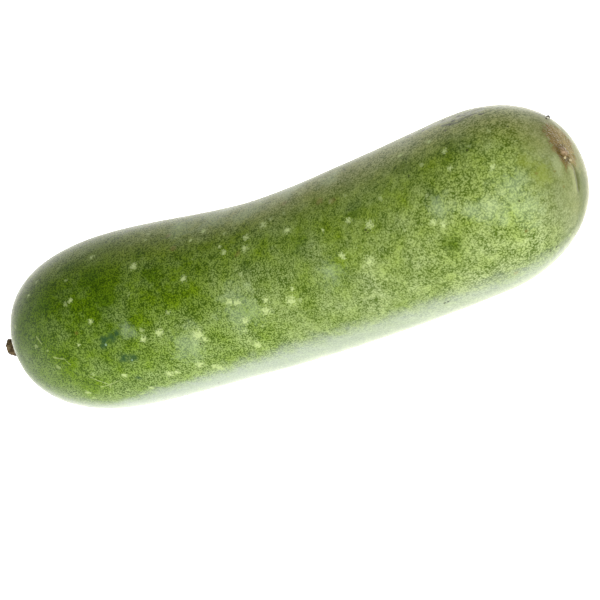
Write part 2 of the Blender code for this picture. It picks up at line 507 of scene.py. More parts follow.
def scar_relief(points):
    """Cork on the blossom scar: a raised rim, cracked plates, a furrow round the nub and lobes on it."""
    along, across = along_and_across(points)
    pushed = across - SCAR_MIDDLE[1] + 2 * MM * noise_at(points, 6 * MM, 3.0)
    reach = np.hypot((along - SCAR_MIDDLE[0]) / SCAR_HALF_LENGTH, pushed / SCAR_HALF_WIDTH)
    inside = 1.0 - smooth_step(0.8, 1.1, reach)
    rim = mound(reach - 1.0, SCAR_RIM_SHARE) * (0.6 + noise_at(points, 4 * MM, 8.0))
    plates = ridges_at(points, 2.1 * MM, 5.0) ** 3 + 0.5 * ridges_at(points, 1.1 * MM, 9.0) ** 3
    from_nub = np.hypot(along, across)
    furrow = mound(from_nub - FURROW_RADIUS, FURROW_WIDTH) * (0.8 + noise_at(points, 3 * MM, 1.0))
    lobes = mound(from_nub, LOBES_RADIUS) * (0.5 + noise_at(points, 1.5 * MM, 2.0))
    relief = inside * (PLATE_HEIGHT * plates - PLATE_SINK) + SCAR_RIM_HEIGHT * rim
    relief += LOBE_HEIGHT * lobes - FURROW_DEPTH * furrow
    return only_blossom_end(points, relief)


def crease_relief(points):
    """The crease below the scar, sharper than on the solid, with a lip on each side."""
    top = np.array(CREASE_TOP)
    run = np.array(CREASE_FOOT) - top
    offset = np.column_stack(along_and_across(points)) - top
    share = np.clip(offset @ run / (run @ run), 0.0, 1.0)
    wander = CREASE_WANDER * noise_at(points, 5 * MM, 11.0)
    away = np.linalg.norm(offset - share[:, None] * run, axis=1) + wander
    relief = CREASE_LIP_HEIGHT * mound(away, CREASE_LIP_WIDTH) - CREASE_DEPTH * mound(away, CREASE_WIDTH)
    return only_blossom_end(points, relief)


def stem_end_relief(points):
    """Fine folds that run out from the stalk."""
    up = points[:, 2] - STUB_MIDDLE.z
    from_middle = np.hypot(points[:, 1], up)
    folds = np.cos(STEM_FOLDS * np.arctan2(up, points[:, 1]) + 2.0 * noise_at(points, 8 * MM, 6.0))
    reach = smooth_step(5 * MM, 9 * MM, from_middle) * (1.0 - smooth_step(12 * MM, 24 * MM, from_middle))
    return np.where(points[:, 0] < STEM_TIP_X + 30 * MM, STEM_FOLD_HEIGHT * folds * reach, 0.0)


def skin_mesh():
    """The fruit's skin with its dents, scar, crease and folds, left flat where the melon rests."""
    mesh = made_finer(merged_copy("fruit", "melon_skin"), SKIN_ROUNDS)
    points, normals = points_and_normals(mesh)
    dents = BROAD_DENT * noise_at(points, 24 * MM, 1.0) + FINE_DENT * noise_at(points, 7 * MM, 4.0)
    relief = dents + scar_relief(points) + crease_relief(points) + stem_end_relief(points)
    relief *= smooth_step(0.5 * MM, 4 * MM, points[:, 2])
    points += normals * relief[:, None]
    points[:, 2] = np.maximum(points[:, 2], 0.0)
    move_points(mesh, points)
    return mesh


def stub_mesh():
    """The stalk: ribs from the solid, with fibres along it, a crumbly cut and a foot sunk in the skin."""
    mesh = made_finer(merged_copy("stem_stub", "stalk"), STUB_ROUNDS)
    points, normals = points_and_normals(mesh)
    round_angle = np.arctan2(points[:, 2] - STUB_MIDDLE.z, points[:, 1])
    sideways = smooth_step(0.35, 0.8, np.hypot(normals[:, 1], normals[:, 2]))
    fibres = np.cos(STUB_FIBRES * round_angle + 3.0 * noise_at(points, 5 * MM, 1.0))
    long_grain = noise_at(points * np.array([0.25, 1.0, 1.0]), 0.9 * MM, 2.0)
    relief = sideways * (FIBRE_HEIGHT * fibres + LONG_GRAIN_HEIGHT * long_grain)
    facing_cut = smooth_step(0.5, 0.9, -normals[:, 0])
    relief += facing_cut * CRUMB_HEIGHT * noise_at(points, 1.1 * MM, 7.0)
    points += normals * relief[:, None]
    points[:, 0] += FOOT_SINK * smooth_step(STUB_HIGH.x - FOOT_LENGTH, STUB_HIGH.x, points[:, 0])
    move_points(mesh, points)
    return mesh


def flake_mesh(places):
    """A curl of dry skin at the scar's upper edge, rolled up tighter and narrower to its free end."""
    flake = bmesh.new()
    bmesh.ops.create_grid(flake, x_segments=14, y_segments=5, size=0.5)
    for vertex in flake.verts:
        share, wide = vertex.co.x + 0.5, vertex.co.y
        turn = share * FLAKE_TURN
        curl = FLAKE_RADIUS * (1.0 - FLAKE_TIGHTENS * share)
        aside = FLAKE_WIDTH * wide * (1.0 - FLAKE_NARROWS * share)
        vertex.co = Vector((curl * math.sin(turn), aside, curl * (1.0 - math.cos(turn))))
    bmesh.ops.solidify(flake, geom=flake.faces[:], thickness=FLAKE_THICKNESS)
    bmesh.ops.recalc_face_normals(flake, faces=flake.faces[:])
    spot, outward = places.surface.find_nearest(FLAKE_SPOT)[:2]
    ahead = FLAKE_ROLL_WAY.cross(outward).normalized()
    turned = Matrix((ahead, outward.cross(ahead), outward)).transposed().to_4x4()
    bmesh.ops.transform(flake, matrix=Matrix.Translation(spot) @ turned, verts=flake.verts)
    mesh = bpy.data.meshes.new("dry_flake")
    flake.to_mesh(mesh)
    flake.free()
    return mesh


# Nodes


class Nodes:
    """A node tree, with short ways to add nodes and join them."""

    def __init__(self, tree):
        self.tree = tree

    def add(self, kind, inputs=None, **settings):
        """A new node. Its inputs are given as socket to value or to the output that feeds it."""
        node = self.tree.nodes.new(kind)
        for name, value in settings.items():
            setattr(node, name, value)
        for socket, value in (inputs or {}).items():
            self.feed(node.inputs[socket], value)
        return node

    def feed(self, socket, value):
        """Joins an output to a socket, or sets the socket to a plain value."""
        if isinstance(value, bpy.types.NodeSocket):
            self.tree.links.new(value, socket)
        else:
            socket.default_value = value

    def math(self, operation, first, second=0.0, third=0.0):
        node = self.add("ShaderNodeMath", {0: first, 1: second, 2: third}, operation=operation)
        return node.outputs[0]

    def times(self, first, second):
        return self.math("MULTIPLY", first, second)

    def times_add(self, first, second, third):
        """first times second, plus third."""
        return self.math("MULTIPLY_ADD", first, second, third)

    def swing(self, noise_share):
        """A noise between 0 and 1 as one that swings about 0."""
        return self.math("SUBTRACT", noise_share, 0.5)

    def blend(self, share, first, second):
        """A number between two others."""
        return self.times_add(self.math("SUBTRACT", second, first), share, first)

    def rise(self, value, low, high, start=0.0, end=1.0):
        """start below low and end above high, with a smooth rise between."""
        inputs = {"Value": value, "From Min": low, "From Max": high, "To Min": start, "To Max": end}
        node = self.add("ShaderNodeMapRange", inputs, interpolation_type="SMOOTHSTEP")
        return node.outputs["Result"]

    def vector(self, operation, first, second=(0.0, 0.0, 0.0)):
        return self.add("ShaderNodeVectorMath", {0: first, 1: second}, operation=operation)

    def scaled(self, vector, factor):
        """A vector times a number."""
        node = self.vector("SCALE", vector)
        self.feed(node.inputs["Scale"], factor)
        return node.outputs[0]

    def bent(self, coords, noise_colour, amount):
        """The coordinates, pushed about by a noise's colour."""
        push = self.vector("SUBTRACT", noise_colour, (0.5, 0.5, 0.5)).outputs[0]
        return self.vector("ADD", coords, self.scaled(push, amount)).outputs[0]

    def mix(self, share, first, second, blend_type="MIX"):
        """A colour between two others, or the one put on the other by the blend type."""
        inputs = {0: share, 6: first, 7: second}
        node = self.add("ShaderNodeMix", inputs, data_type="RGBA", blend_type=blend_type)
        return node.outputs[2]

    def texture(self, kind, coords, scale, inputs=None, **settings):
        """A texture node with this many features to a metre."""
        inputs = {"Vector": coords, "Scale": scale, **(inputs or {})}
        return self.add("ShaderNodeTex" + kind, inputs, **settings)

    def noise(self, coords, size, detail=2.0, roughness=0.5):
        """Smooth noise between 0 and 1, with features of about this size."""
        inputs = {"Detail": detail, "Roughness": roughness}
        return self.texture("Noise", coords, 1.0 / size, inputs).outputs["Fac"]

    def group(self, tree, **inputs):
        """A placed node group's outputs. An underscore in an input's name stands for a space."""
        node = self.tree.nodes.new("ShaderNodeGroup")
        node.node_tree = tree
        for socket, value in inputs.items():
            self.feed(node.inputs[socket.replace("_", " ")], value)
        return node.outputs


def new_group(name, takes, gives):
    """An empty node group, with sockets given as name to default value or, for outputs, to kind."""
    tree = bpy.data.node_groups.new(name, "ShaderNodeTree")
    for socket_name, default in takes.items():
        kind = "NodeSocketVector" if isinstance(default, tuple) else "NodeSocketFloat"
        socket = tree.interface.new_socket(socket_name, in_out="INPUT", socket_type=kind)
        socket.default_value = default
    for socket_name, kind in gives.items():
        tree.interface.new_socket(socket_name, in_out="OUTPUT", socket_type="NodeSocket" + kind)
    nodes = Nodes(tree)
    return nodes, nodes.add("NodeGroupInput").outputs, nodes.add("NodeGroupOutput").inputs


def mottle_group():
    """Pale grains in a darker maze, as the rind has, and the height of the grains."""
    nodes, takes, gives = new_group(
        "rind mottle",
        {"Vector": (0.0, 0.0, 0.0), "Grains per Metre": 1000.0, "Coarse Share": 0.3},
        {"Pale": "Float", "Height": "Float"},
    )
    scale = takes["Grains per Metre"]
    drift = nodes.texture("Noise", takes["Vector"], nodes.times(scale, 0.4)).outputs["Color"]
    coords = nodes.bent(takes["Vector"], drift, nodes.math("DIVIDE", 2.0, scale))
    maze = nodes.texture("Noise", coords, scale, {"Detail": 2.0, "Roughness": 0.7}).outputs["Fac"]
    cells = nodes.texture("Voronoi", coords, nodes.times(scale, 0.75)).outputs["Distance"]
    coarse = nodes.texture("Noise", coords, nodes.times(scale, 0.28), {"Detail": 1.0}).outputs["Fac"]
    grain = nodes.rise(cells, 0.8, 0.2)
    fine = nodes.math("ADD", nodes.times(maze, 0.7), nodes.times(grain, 0.3))
    mixed = nodes.times_add(nodes.swing(coarse), takes["Coarse Share"], fine)
    nodes.feed(gives["Pale"], nodes.rise(mixed, 0.30, 0.68))
    nodes.feed(gives["Height"], fine)
    return nodes.tree


def fleck_group():
    """Scattered ragged flecks, at most one to a cell."""
    nodes, takes, gives = new_group(
        "star flecks",
        {
            "Vector": (0.0, 0.0, 0.0),
            "Cells per Metre": 100.0,
            "Radius": 0.25,
            "Share": 0.5,
            "Raggedness": 0.2,
        },
        {"Mask": "Float"},
    )
    scale = takes["Cells per Metre"]
    cells = nodes.texture("Voronoi", takes["Vector"], scale).outputs
    ragged = nodes.texture("Noise", takes["Vector"], nodes.times(scale, 7.0), {"Detail": 2.0}).outputs["Fac"]
    spread = nodes.times(nodes.swing(ragged), takes["Raggedness"])
    distance = nodes.math("ADD", cells["Distance"], nodes.times(spread, 2.0))
    fleck = nodes.rise(distance, takes["Radius"], nodes.times(takes["Radius"], 0.35))
    draw = nodes.add("ShaderNodeSeparateColor", {0: cells["Color"]}).outputs[0]
    chosen = nodes.math("LESS_THAN", draw, takes["Share"])
    nodes.feed(gives["Mask"], nodes.times(fleck, chosen))
    return nodes.tree


def spot_group():
    """One spot round a point, with an edge made ragged by a noise from outside."""
    nodes, takes, gives = new_group(
        "spot",
        {
            "Vector": (0.0, 0.0, 0.0),
            "Centre": (0.0, 0.0, 0.0),
            "Radius": 0.002,
            "Noise": 0.5,
            "Raggedness": 1.5,
            "Softness": 0.6,
        },
        {"Mask": "Float"},
    )
    away = nodes.vector("DISTANCE", takes["Vector"], takes["Centre"]).outputs["Value"]
    share = nodes.math("DIVIDE", away, takes["Radius"])
    share = nodes.times_add(nodes.swing(takes["Noise"]), takes["Raggedness"], share)
    inner = nodes.math("SUBTRACT", 1.0, takes["Softness"])
    nodes.feed(gives["Mask"], nodes.rise(share, 1.0, inner))
    return nodes.tree


def line_group():
    """A thin mark from one point to another."""
    nodes, takes, gives = new_group(
        "line mark",
        {"Vector": (0.0, 0.0, 0.0), "From": (0.0, 0.0, 0.0), "To": (0.0, 0.0, 0.0), "Half Width": 0.0005},
        {"Mask": "Float"},
    )
    run = nodes.vector("SUBTRACT", takes["To"], takes["From"]).outputs[0]
    offset = nodes.vector("SUBTRACT", takes["Vector"], takes["From"]).outputs[0]
    length = nodes.vector("DOT_PRODUCT", run, run).outputs["Value"]
    reach = nodes.math("DIVIDE", nodes.vector("DOT_PRODUCT", offset, run).outputs["Value"], length)
    reach = nodes.math("MINIMUM", nodes.math("MAXIMUM", reach, 0.0), 1.0)
    away = nodes.vector("DISTANCE", offset, nodes.scaled(run, reach)).outputs["Value"]
    wander = nodes.swing(nodes.noise(takes["Vector"], 1.6 * MM))
    away = nodes.math("ABSOLUTE", nodes.times_add(wander, 1.4 * MM, away))
    nodes.feed(gives["Mask"], nodes.rise(away, takes["Half Width"], nodes.times(takes["Half Width"], 0.3)))
    return nodes.tree


def cork_group():
    """Dry cork: how dark it is, and its height, with cracks between small plates."""
    nodes, takes, gives = new_group(
        "cork",
        {"Vector": (0.0, 0.0, 0.0), "Plates per Metre": 500.0},
        {"Dark": "Float", "Height": "Float"},
    )
    scale = takes["Plates per Metre"]
    grain = nodes.texture("Noise", takes["Vector"], scale, {"Detail": 5.0, "Roughness": 0.65}).outputs
    coords = nodes.bent(takes["Vector"], grain["Color"], nodes.math("DIVIDE", 1.2, scale))
    plates = nodes.texture("Voronoi", coords, scale, feature="DISTANCE_TO_EDGE").outputs["Distance"]
    crack = nodes.rise(plates, 0.12, 0.0)
    dark = nodes.times_add(crack, 0.6, nodes.rise(grain["Fac"], 0.45, 0.75, 0.0, 0.6))
    nodes.feed(gives["Dark"], dark)
    nodes.feed(gives["Height"], nodes.math("SUBTRACT", grain["Fac"], crack))
    return nodes.tree


# Materials


def new_material(name):
    """A material, its nodes, its shader and its Object coordinates."""
    material = bpy.data.materials.new(name)
    material.use_nodes = True
    nodes = Nodes(material.node_tree)
    shader = material.node_tree.nodes["Principled BSDF"]
    coords = nodes.add("ShaderNodeTexCoord").outputs["Object"]
    return material, nodes, shader, coords


def colour(red, green, blue):
    """A screen colour, 0 to 255, as the linear colour that a shader takes."""
    shares = (c / 255 for c in (red, green, blue))
    return tuple(c / 12.92 if c <= 0.04045 else ((c + 0.055) / 1.055) ** 2.4 for c in shares) + (1.0,)


class SkinPlaces:
    """Finds points of the skin from a distance along it and degrees up from its front."""

    def __init__(self, mesh):
        points, _ = points_and_normals(mesh)
        self.surface = BVHTree.FromPolygons(points.tolist(), [tuple(p.vertices) for p in mesh.polygons])

    def at(self, along_mm, degrees_up):
        """The point of the skin there, seen from the middle of the fruit at that distance."""
        inside = Vector((STEM_TIP_X + along_mm * MM, 0.0, FRUIT_HIGH.z / 2))
        top = self.surface.ray_cast(inside, Vector((0, 0, 1)))[0]
        bottom = self.surface.ray_cast(inside, Vector((0, 0, -1)))[0]
        inside.z = (top.z + bottom.z) / 2
        angle = math.radians(degrees_up)
        return self.surface.ray_cast(inside, Vector((0.0, -math.cos(angle), math.sin(angle))))[0]


def strongest(nodes, masks):
    """Joins several masks into one."""
    joined = masks[0]
    for mask in masks[1:]:
        joined = nodes.math("MAXIMUM", joined, mask)
    return joined


def spots(nodes, coords, places, marks, group, **edge):
    """One mask for all the spots of one kind."""
    masks = []
    for along, up, radius in marks:
        centre = places.at(along, up)
        masks.append(nodes.group(group, Vector=coords, Centre=centre, Radius=radius * MM, **edge)["Mask"])
    return strongest(nodes, masks)


def lines(nodes, coords, places, marks, group):
    """One mask for all the thin marks of one kind."""
    masks = []
    for along, up, to_along, to_up, half_width in marks:
        ends = {"From": places.at(along, up), "To": places.at(to_along, to_up)}
        masks.append(nodes.group(group, Vector=coords, Half_Width=half_width * MM, **ends)["Mask"])
    return strongest(nodes, masks)


def tinted(nodes, base, mask, strength, tint):
    """The colour so far, mixed with a tint where the mask is, as strongly as given."""
    return nodes.mix(nodes.times(mask, strength), base, colour(*tint))


def skin_zones(nodes, coords, place):
    """The rind's green with painted sheen on the far side, and how far down and towards the blossom end."""
    drift = nodes.times(nodes.swing(nodes.noise(coords, 34 * MM, detail=3.0)), 0.6)
    along = nodes.math("ADD", nodes.rise(place["X"], STEM_TIP_X + 20 * MM, FRUIT_HIGH.x - 10 * MM), drift)
    low = nodes.math("ADD", nodes.rise(place["Z"], 92 * MM, 8 * MM), drift)
    top = nodes.mix(along, colour(*STEM_TOP_GREEN), colour(*BLOSSOM_TOP_GREEN))
    belly = nodes.mix(along, colour(*STEM_BELLY_GREEN), colour(*BLOSSOM_BELLY_GREEN))
    green = nodes.mix(low, top, belly)
    tip = nodes.rise(place["X"], FRUIT_HIGH.x - 30 * MM, FRUIT_HIGH.x - 4 * MM, 0.0, 0.75)
    green = nodes.mix(tip, green, colour(*BLOSSOM_TIP_OLIVE))
    # painted sheen: the side away from the camera turns paler grey-green, more so towards the blossom end
    far_side = nodes.rise(place["Y"], -30 * MM, -4 * MM)
    painted_far_sheen = nodes.times(far_side, nodes.rise(along, -0.1, 0.7, 0.3, 1.0))
    return tinted(nodes, green, painted_far_sheen, 0.65, FAR_SIDE_PAINTED_SHEEN), low, along


def wax_level(nodes, coords, low, along):
    """How much white bloom the pale grains have: most low on the sides and at the blossom end."""
    clouds = nodes.noise(coords, 16 * MM, detail=4.0, roughness=0.65)
    even = nodes.times_add(low, 0.12, nodes.times(along, 0.10))
    return nodes.math("MAXIMUM", nodes.times_add(nodes.swing(clouds), 0.35, even), 0.0)


def bloom_and_glow_level(nodes, coords, place, along):
    """How thick the white film near the ground is, partly wax bloom and partly painted floor glow."""
    ragged = nodes.noise(coords, 9 * MM, detail=5.0, roughness=0.7)
    height = nodes.times_add(nodes.swing(ragged), 14 * MM, place["Z"])
    # painted haze: the film reaches higher at the stem end and whitens it there
    end = nodes.rise(place["X"], STEM_TIP_X + 50 * MM, STEM_TIP_X + 4 * MM)
    reach = nodes.times_add(along, 2 * MM, nodes.times_add(end, 27 * MM, 27.5 * MM))
    film = nodes.times(nodes.rise(height, reach, 15 * MM), nodes.times_add(along, -0.24, 0.64))
    return nodes.times_add(end, 0.12, film)


def pale_share(nodes, coords, place, groups, along, clumps):
    """How much of each spot is pale grain, and the height of the grains, larger to the blossom end."""
    fine = nodes.group(groups["mottle"], Vector=coords, Grains_per_Metre=1650.0, Coarse_Share=0.3)
    large = nodes.group(groups["mottle"], Vector=coords, Grains_per_Metre=1300.0, Coarse_Share=0.4)
    larger = nodes.rise(along, 0.35, 1.0, 0.0, 0.8)
    share = nodes.blend(larger, fine["Pale"], large["Pale"])
    height = nodes.blend(larger, fine["Height"], large["Height"])
    patches = nodes.noise(coords, 9 * MM, detail=2.0, roughness=0.6)
    share = nodes.times_add(nodes.swing(patches), nodes.times_add(along, 0.35, 0.7), share)
    share = nodes.times_add(clumps, 0.4, share)
    calm = nodes.rise(place["X"], FRUIT_HIGH.x - 26 * MM, FRUIT_HIGH.x - 6 * MM, 0.0, 0.6)
    return nodes.blend(calm, share, 0.6), height


def grained_rind(nodes, coords, places, groups):
    """The rind's greens with its pale and dark grains, and the height of the grains."""
    place = nodes.add("ShaderNodeSeparateXYZ", {0: coords}).outputs
    patch_noise = nodes.noise(coords, 6 * MM, detail=4.0, roughness=0.65)
    soft = {"Noise": patch_noise, "Raggedness": 2.2, "Softness": 1.0}
    clumped = {"Noise": patch_noise, "Raggedness": 2.4, "Softness": 1.0}
    zone, low, along = skin_zones(nodes, coords, place)
    shade = spots(nodes, coords, places, DARK_PATCHES, groups["spot"], **soft)
    # whitish patches that are partly painted highlight, partly wax bloom
    highlight_and_bloom = spots(nodes, coords, places, HIGHLIGHT_AND_BLOOM_PATCHES, groups["spot"], **soft)
    clumps = spots(nodes, coords, places, PALE_CLUMPS, groups["spot"], **clumped)
    zone = tinted(nodes, zone, shade, 0.5, DEEP_GREEN)
    wax = nodes.math("MAXIMUM", nodes.times_add(shade, -0.06, wax_level(nodes, coords, low, along)), 0.0)
    share, height = pale_share(nodes, coords, place, groups, along, clumps)
    dark = nodes.mix(1.0, zone, DARK_GRAIN + (1.0,), "MULTIPLY")
    dark = tinted(nodes, dark, wax, 0.15, WAX_BLOOM)
    pale = nodes.mix(1.0, zone, PALE_GRAIN + (1.0,), "MULTIPLY")
    pale = tinted(nodes, pale, wax, 1.8, WAX_BLOOM)
    rind = tinted(nodes, nodes.mix(share, dark, pale), highlight_and_bloom, 0.25, HIGHLIGHT_AND_BLOOM_HAZE)
    # the white film near the ground: partly wax bloom, partly painted floor glow
    return nodes.mix(bloom_and_glow_level(nodes, coords, place, along), rind, colour(*BLOOM_AND_FLOOR_GLOW)), height


def marked_rind(nodes, coords, places, groups, base):
    """The rind with its flecks, smudges, specks, spots and scratches, and a mask of the scratches."""
    noise_star = nodes.noise(coords, 0.9 * MM, detail=2.0, roughness=0.6)
    noise_fine = nodes.noise(coords, 1.2 * MM, detail=3.0, roughness=0.6)
    noise_wide = nodes.noise(coords, 3 * MM, detail=3.0)
    starry = {"Noise": noise_star, "Raggedness": 2.6, "Softness": 1.0}
    small = {"Noise": noise_fine, "Raggedness": 1.6, "Softness": 0.8}
    speckled = {"Noise": noise_fine, "Raggedness": 1.9, "Softness": 0.8}
    wide = {"Noise": noise_wide, "Raggedness": 1.8, "Softness": 0.9}
    smudged = {"Noise": noise_wide, "Raggedness": 1.6, "Softness": 1.0}

    flecks = nodes.group(groups["flecks"], Vector=coords, Cells_per_Metre=110.0, Radius=0.18, Share=0.45)
    base = tinted(nodes, base, flecks["Mask"], 0.35, STAR_CREAM)
    stars = spots(nodes, coords, places, STAR_FLECKS, groups["spot"], **starry)
    base = tinted(nodes, base, stars, 0.8, STAR_CREAM)
    rough = spots(nodes, coords, places, ROUGH_PATCHES, groups["spot"], **wide)
    rough = nodes.times(rough, nodes.rise(noise_fine, 0.4, 0.58, 0.35, 1.0))
    base = tinted(nodes, base, rough, 0.85, ROUGH_GREY)
    rough_lines = lines(nodes, coords, places, ROUGH_LINES, groups["line"])
    base = tinted(nodes, base, rough_lines, 0.7, ROUGH_LINE_DARK)
    for marks, edge, strength, tint in (
        (OLIVE_PATCHES, wide, 0.5, PATCH_OLIVE),
        (RUDDY_PATCHES, wide, 0.3, PATCH_RUDDY),
        (SMUDGES, smudged, 0.9, SMUDGE_GREEN),
        (SMUDGE_GLINTS, small, 0.7, GLINT_GREEN),
        (BROWN_SPOTS, small, 0.6, SPOT_BROWN),
        (DARK_SPECKS, speckled, 0.9, SPECK_DARK),
    ):
        mask = spots(nodes, coords, places, marks, groups["spot"], **edge)
        base = tinted(nodes, base, mask, strength, tint)
    scratch = lines(nodes, coords, places, SCRATCHES, groups["line"])
    return tinted(nodes, base, scratch, 0.5, SCRATCH_PALE), scratch


def oval_reach(nodes, along, across, middle, halves):
    """How far out a place is on an oval of the scar's surface: 1 on its edge."""
    shares = [
        nodes.math("DIVIDE", nodes.math("SUBTRACT", way, centre), half)
        for way, centre, half in zip((along, across), middle, halves)
    ]
    squares = [nodes.times(share, share) for share in shares]
    return nodes.math("SQRT", nodes.math("ADD", *squares))


def cork_bark(nodes, along, across, wander, streaks, cork_dark):
    """The cork's colour: paler to one side, streaked along, and darker in its cracks and its core."""
    side = nodes.times_add(wander, 8 * MM, across)
    bark = nodes.mix(nodes.rise(side, -3 * MM, 6 * MM), colour(*BARK_BROWN), colour(*BARK_TAN))
    bark = tinted(nodes, bark, nodes.rise(streaks, 0.42, 0.75), 0.6, STREAK_BROWN)
    bark = tinted(nodes, bark, cork_dark, 0.45, CRACK_BROWN)
    core = nodes.times_add(wander, 1.6, oval_reach(nodes, along, across, CORE_MIDDLE, CORE_HALVES))
    return tinted(nodes, bark, nodes.rise(core, 1.1, 0.3), 0.65, CORE_BROWN)


def nub_and_furrow(nodes, along, across, wander, streaks, near, base):
    """The colour so far with the scar's pale nub, and painted shade in the furrow round it."""
    nub = oval_reach(nodes, along, across, NUB_MIDDLE, NUB_HALVES)
    furrow = nodes.math("ABSOLUTE", nodes.math("SUBTRACT", nub, 1.5))
    furrow = nodes.rise(nodes.times_add(wander, 1.2, furrow), 0.5, 0.0)
    furrow = nodes.times(furrow, nodes.rise(across, 3 * MM, -1 * MM, 0.2, 1.0))
    # painted shade in the furrow, deepest on one side of the nub
    base = tinted(nodes, base, nodes.times(furrow, near), 0.6, FURROW_PAINTED_SHADE)
    nub = nodes.rise(nodes.times_add(wander, 2.4, nub), 1.25, 0.5)
    nub = nodes.times(nub, nodes.rise(streaks, 0.62, 0.4, 0.3, 1.0))
    return tinted(nodes, base, nodes.times(nub, near), 0.8, NUB_TAN)


def creased(nodes, along, bent, near, line, base):
    """The colour so far with painted shade in the crease below the scar and painted highlight beside it."""
    flat = nodes.add("ShaderNodeCombineXYZ", {0: along, 1: bent, 2: 0.0}).outputs[0]
    beside = nodes.vector("ADD", flat, (0.0, LIP_SHIFT, 0.0)).outputs[0]
    ends = {"From": CREASE_TOP + (0.0,), "To": CREASE_FOOT + (0.0,)}
    lip = nodes.group(line, Vector=beside, Half_Width=LIP_HALF_WIDTH, **ends)["Mask"]
    crease = nodes.group(line, Vector=flat, Half_Width=CREASE_HALF_WIDTH, **ends)["Mask"]
    # painted highlight on one lip of the crease, and painted shade in the crease itself
    base = tinted(nodes, base, nodes.times(lip, near), 0.5, LIP_PAINTED_HIGHLIGHT)
    return tinted(nodes, base, nodes.times(crease, near), 0.6, CREASE_PAINTED_SHADE)


def scarred_rind(nodes, coords, groups, base):
    """The rind with the blossom scar and the crease below it, the scar's mask and its cork height."""
    from_nub = nodes.vector("SUBTRACT", coords, NUB[:]).outputs[0]
    ways = scar_turn().transposed()
    out, across, along = (nodes.vector("DOT_PRODUCT", from_nub, way[:]).outputs["Value"] for way in ways)
    near = nodes.rise(out, SCAR_DEPTH_START, SCAR_DEPTH_FULL)
    wander = nodes.swing(nodes.noise(coords, 2.2 * MM, detail=4.0, roughness=0.65))
    bent = nodes.times_add(wander, 3.0 * MM, across)
    pushed = nodes.times_add(nodes.swing(nodes.noise(coords, 6 * MM, detail=1.0)), 7 * MM, across)
    drawn = nodes.add("ShaderNodeCombineXYZ", {0: nodes.times(along, 0.5), 1: bent, 2: out}).outputs[0]
    streaks = nodes.noise(drawn, 1.3 * MM, detail=3.0, roughness=0.6)
    cork = nodes.group(groups["cork"], Vector=coords, Plates_per_Metre=480.0)

    halo = nodes.times_add(wander, 1.6, oval_reach(nodes, along, across, SCAR_HALO_MIDDLE, SCAR_HALO_HALVES))
    base = tinted(nodes, base, nodes.times(nodes.rise(halo, 1.2, 0.5), near), 0.6, HALO_TAN)
    reach = oval_reach(nodes, along, pushed, SCAR_MIDDLE, (SCAR_HALF_LENGTH, SCAR_HALF_WIDTH))
    reach = nodes.times_add(wander, 1.2, reach)
    scar = nodes.times(nodes.rise(reach, 1.08, 0.9), near)
    base = nodes.mix(scar, base, cork_bark(nodes, along, across, wander, streaks, cork["Dark"]))
    off_rim = nodes.math("ABSOLUTE", nodes.math("SUBTRACT", reach, 1.05))
    rim = nodes.times(nodes.rise(off_rim, 0.3, 0.0), near)
    rim = nodes.times(rim, nodes.rise(across, 2 * MM, -3 * MM))
    base = tinted(nodes, base, rim, 0.4, RIM_OLIVE)
    base = nub_and_furrow(nodes, along, across, wander, streaks, near, base)
    # the last two scar spots are painted shade on the crease's right side
    for middle, halves, strength, tint in SCAR_SPOTS:
        spot = nodes.times_add(wander, 1.8, oval_reach(nodes, along, across, middle, halves))
        base = tinted(nodes, base, nodes.times(nodes.rise(spot, 1.1, 0.4), near), strength, tint)
    base = creased(nodes, along, bent, near, groups["line"], base)
    return base, scar, nodes.times_add(streaks, -0.2, cork["Height"])


def melon_skin_material(places, groups):
    """Waxy rind with its scar: satin, with a soft sheen of bloom towards its edges."""
    material, nodes, shader, coords = new_material("melon_skin")
    base, grain_height = grained_rind(nodes, coords, places, groups)
    base, scratch = marked_rind(nodes, coords, places, groups, base)
    base, scar, cork_height = scarred_rind(nodes, coords, groups, base)
    nodes.feed(shader.inputs["Base Color"], base)
    rough = nodes.times_add(grain_height, 0.08, 0.46)
    nodes.feed(shader.inputs["Roughness"], nodes.times_add(scar, 0.35, rough))
    height = nodes.times_add(nodes.times(cork_height, scar), 0.6, grain_height)
    height = nodes.times_add(scratch, -0.8, height)
    bump = nodes.add("ShaderNodeBump", {"Height": height, "Strength": 0.6, "Distance": 0.2 * MM})
    nodes.feed(shader.inputs["Normal"], bump.outputs["Normal"])
    shader.inputs["Specular IOR Level"].default_value = 0.14
    shader.inputs["Specular Tint"].default_value = (0.9, 1.0, 0.25, 1.0)
    shader.inputs["Sheen Weight"].default_value = 1.0
    shader.inputs["Sheen Roughness"].default_value = 0.25
    shader.inputs["Sheen Tint"].default_value = (1.0, 0.98, 0.88, 1.0)
    return material


def dry_material(name, groups, dark, light, blotch):
    """Dry plant fibre, from a dark tone to a light one, with blotches."""
    material, nodes, shader, coords = new_material(name)
    drawn = nodes.add("ShaderNodeMapping", {"Vector": coords, "Scale": (0.22, 1.0, 1.0)}).outputs[0]
    fibres = nodes.noise(drawn, 0.8 * MM, detail=4.0, roughness=0.65)
    blotches = nodes.rise(nodes.noise(coords, 4 * MM, detail=2.0), 0.5, 0.75)
    cork = nodes.group(groups["cork"], Vector=drawn, Plates_per_Metre=700.0)
    base = nodes.mix(nodes.rise(fibres, 0.3, 0.7), colour(*dark), colour(*light))
    base = tinted(nodes, base, blotches, 0.6, blotch)
    base = tinted(nodes, base, cork["Dark"], 0.5, FIBRE_CRACK_BROWN)
    nodes.feed(shader.inputs["Base Color"], base)
    nodes.feed(shader.inputs["Roughness"], nodes.rise(fibres, 0.2, 0.8, 0.95, 0.7))
    height = nodes.times_add(cork["Height"], 0.5, fibres)
    bump = nodes.add("ShaderNodeBump", {"Height": height, "Strength": 0.8, "Distance": 0.25 * MM})
    nodes.feed(shader.inputs["Normal"], bump.outputs["Normal"])
    shader.inputs["Specular IOR Level"].default_value = 0.2
    return material


# The studio


